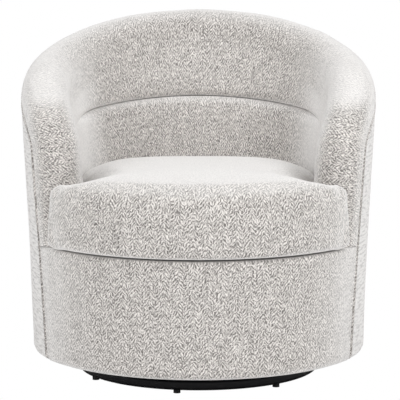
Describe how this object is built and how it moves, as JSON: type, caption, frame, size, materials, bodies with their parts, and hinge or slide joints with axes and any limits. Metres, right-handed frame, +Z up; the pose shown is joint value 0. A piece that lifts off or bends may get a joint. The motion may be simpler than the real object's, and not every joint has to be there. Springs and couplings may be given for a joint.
{
  "type": "swivel rocker",
  "caption": "Upholstered barrel chair that swivels on a round black base and rocks on a sprung cradle.",
  "frame": {"origin": "on the floor under the swivel axis, at the middle of the object's box", "axes": "+Z up along the swivel axis, -Y to the front, +X to the right seen from the front"},
  "size_m": [0.772, 0.772, 0.778],
  "materials": {
    "tweed": "heathered broken-herringbone tweed in pale warm grey over foam and wadding",
    "black_paint": "black powder coat, satin",
    "zinc_steel": "zinc-plated steel",
    "rubber": "black rubber",
    "nylon": "natural nylon",
    "plywood": "raw birch plywood",
    "lining": "black non-woven lining"
  },
  "bodies": {
    "base": {"base_ring": "black_paint", "foot_pads": "rubber", "foot_studs": "zinc_steel", "base_crossbars": "black_paint", "crossbar_rivets": "zinc_steel", "lower_bearing_plate": "zinc_steel", "plate_rivets": "zinc_steel", "ball_cage": "zinc_steel", "bearing_balls": "zinc_steel", "king_bolt": "zinc_steel", "king_washer": "zinc_steel", "king_nut": "zinc_steel"},
    "swivel": {"upper_bearing_plate": "zinc_steel", "rocker_cradle": "black_paint", "cradle_rivets": "zinc_steel", "pivot_pins": "zinc_steel", "pin_clips": "zinc_steel", "lower_spring_cups": "zinc_steel", "coil_springs": "zinc_steel", "rock_stops": "rubber"},
    "seat": {"rocker_rail_left": "black_paint", "rocker_rail_right": "black_paint", "pivot_bushes": "nylon", "upper_spring_cups": "zinc_steel", "rail_bolts": "zinc_steel", "mechanism_board": "plywood", "dust_cover": "lining", "bottom_hoop": "plywood", "lower_posts": "plywood", "middle_posts": "plywood", "seat_hoop": "plywood", "upper_posts": "plywood", "arm_hoop": "plywood", "back_posts": "plywood", "back_rail": "plywood", "seat_springs": "zinc_steel", "spring_clips": "zinc_steel", "seat_deck": "lining", "back_webbing": "lining", "front_apron": "tweed", "outer_wrap": "tweed", "arm_roll_left": "tweed", "arm_roll_right": "tweed", "back_roll": "tweed", "inner_arm_left": "tweed", "inner_arm_right": "tweed", "inner_back": "tweed", "lumbar_pad": "tweed", "seat_cushion": "tweed"}
  },
  "joints": [
    {"name": "swivel_turn", "type": "hinge", "parent": "base", "child": "swivel", "pos_m": [0, 0, 0.04], "axis": [0, 0, 1], "continuous": true},
    {"name": "rocking", "type": "hinge", "parent": "swivel", "child": "seat", "pos_m": [0, 0, 0.09], "axis": [1, 0, 0], "range_deg": [-6, 6], "stiffness_Nm_per_rad": 600, "deforming": ["coil_springs"]}
  ]
}
